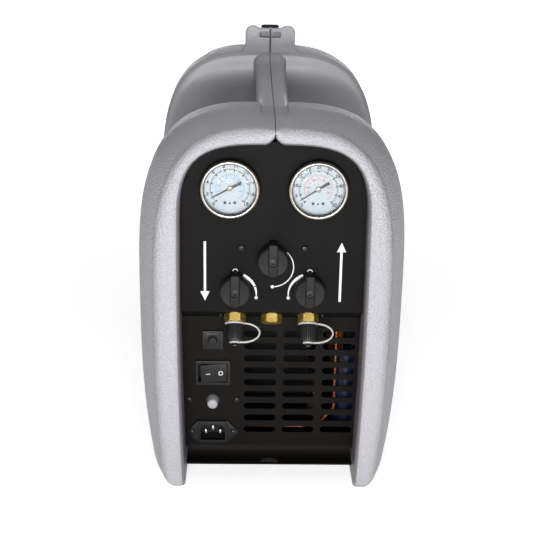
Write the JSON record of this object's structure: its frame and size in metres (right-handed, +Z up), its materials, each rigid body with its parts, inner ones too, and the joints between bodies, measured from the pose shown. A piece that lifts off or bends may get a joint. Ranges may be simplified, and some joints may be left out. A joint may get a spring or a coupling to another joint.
{
  "type": "refrigerant recovery machine",
  "caption": "Portable refrigerant recovery machine: moulded casing with top handle, gauges, valve knobs, capped service ports, vents, switch and mains inlet.",
  "frame": {"origin": "centre of the bounding box at floor level", "axes": "+Z up, the control face looks along -Y, +X is to the right of a person facing it"},
  "size_m": [0.25, 0.45, 0.3901],
  "materials": {
    "casing": "fine pebble texture on the bands, satin on the waist and handle",
    "panel_black": "matt black powder coat",
    "dark_steel": "satin",
    "screws": "dark oxide",
    "bumper": "matt",
    "gauge_case": "satin",
    "polished_steel": "polished",
    "lens": "clear",
    "input_dial": "printed white",
    "output_dial": "printed white",
    "pointer": "matt black",
    "manifold": "machined",
    "steel": "turned",
    "knob": "satin charcoal",
    "brass": "bright",
    "cap_black": "gloss",
    "strap": "pale grey",
    "switch_black": "semi gloss",
    "reset_grey": "satin",
    "motor": "satin",
    "cast_alloy": "as cast",
    "fan_plastic": "moulded",
    "fins": "rolled",
    "copper": "bright copper",
    "capacitor": "dark blue sleeve",
    "wire": "satin"
  },
  "bodies": {
    "machine": {"left_casing": "casing", "right_casing": "casing", "control_panel": "panel_black", "front_grille": "panel_black", "rear_panel": "panel_black", "base_tray": "dark_steel", "front_hoop": "dark_steel", "rear_hoop": "dark_steel", "pressure_switch": "dark_steel", "fan_shroud": "dark_steel", "casing_screws": "screws", "panel_screws": "screws", "top_bumper": "bumper", "compressor_mounts": "bumper", "gauge_cases": "gauge_case", "gauge_bezels": "polished_steel", "gauge_lenses": "lens", "input_dial": "input_dial", "output_dial": "output_dial", "valve_manifold": "manifold", "inlet_pins": "steel", "mount_bolts": "steel", "input_port": "brass", "output_port": "brass", "purge_port": "brass", "input_cap_strap": "strap", "output_cap_strap": "strap", "switch_frame": "switch_black", "breaker_body": "switch_black", "inlet_socket": "switch_black", "compressor_motor": "motor", "crankcase": "cast_alloy", "cylinder_head": "cast_alloy", "condenser_fins": "fins", "condenser_tubes": "copper", "suction_pipe": "copper", "discharge_pipe": "copper", "liquid_pipe": "copper", "sensing_lines": "copper", "run_capacitor": "capacitor", "wiring_loom": "wire"},
    "input_pointer": {"input_gauge_pointer": "pointer"},
    "output_pointer": {"output_gauge_pointer": "pointer"},
    "recover_valve": {"recover_stem": "steel", "recover_knob": "knob", "recover_knob_screw": "screws"},
    "input_valve": {"input_stem": "steel", "input_knob": "knob", "input_knob_screw": "screws"},
    "output_valve": {"output_stem": "steel", "output_knob": "knob", "output_knob_screw": "screws"},
    "input_port_cap": {"input_cap": "cap_black"},
    "output_port_cap": {"output_cap": "cap_black"},
    "purge_port_cap": {"purge_cap": "brass"},
    "rocker": {"power_rocker": "switch_black"},
    "breaker": {"breaker_button": "switch_black"},
    "reset": {"reset_button": "reset_grey"},
    "fan": {"motor_shaft": "steel", "fan_rotor": "fan_plastic"}
  },
  "joints": [
    {"name": "input_gauge", "type": "hinge", "parent": "machine", "child": "input_pointer", "pos_m": [-0.0392, -0.207, 0.291], "axis": [0, 1, 0], "range_deg": [0, 260], "stiffness_Nm_per_rad": 0.0002},
    {"name": "output_gauge", "type": "hinge", "parent": "machine", "child": "output_pointer", "pos_m": [0.0392, -0.207, 0.291], "axis": [0, 1, 0], "range_deg": [0, 260], "stiffness_Nm_per_rad": 0.0002},
    {"name": "recover_turn", "type": "hinge", "parent": "machine", "child": "recover_valve", "pos_m": [0, -0.207, 0.2255], "axis": [0, 1, 0], "range_deg": [0, 180]},
    {"name": "input_turn", "type": "hinge", "parent": "machine", "child": "input_valve", "pos_m": [-0.034, -0.207, 0.196], "axis": [0, 1, 0], "range_deg": [0, 100]},
    {"name": "output_turn", "type": "hinge", "parent": "machine", "child": "output_valve", "pos_m": [0.034, -0.207, 0.196], "axis": [0, 1, 0], "range_deg": [-100, 0]},
    {"name": "input_cap_pull", "type": "slide", "parent": "machine", "child": "input_port_cap", "axis": [0, -0.5, -0.866], "range_m": [0, 0.02], "deforming": ["input_cap_strap"]},
    {"name": "output_cap_pull", "type": "slide", "parent": "machine", "child": "output_port_cap", "axis": [0, -0.5, -0.866], "range_m": [0, 0.02], "deforming": ["output_cap_strap"]},
    {"name": "purge_cap_pull", "type": "slide", "parent": "machine", "child": "purge_port_cap", "axis": [0, -0.5, -0.866], "range_m": [0, 0.015]},
    {"name": "rocker_tilt", "type": "hinge", "parent": "machine", "child": "rocker", "pos_m": [-0.055, -0.183, 0.1024], "axis": [0, 0, -1], "range_deg": [0, 16]},
    {"name": "breaker_trip", "type": "slide", "parent": "machine", "child": "breaker", "axis": [0, -1, 0], "range_m": [0, 0.004]},
    {"name": "reset_press", "type": "slide", "parent": "machine", "child": "reset", "axis": [0, 1, 0], "range_m": [0, 0.004], "stiffness_N_per_m": 400},
    {"name": "fan_spin", "type": "hinge", "parent": "machine", "child": "fan", "pos_m": [0, 0.1, 0.1], "axis": [0, 1, 0], "continuous": true}
  ]
}
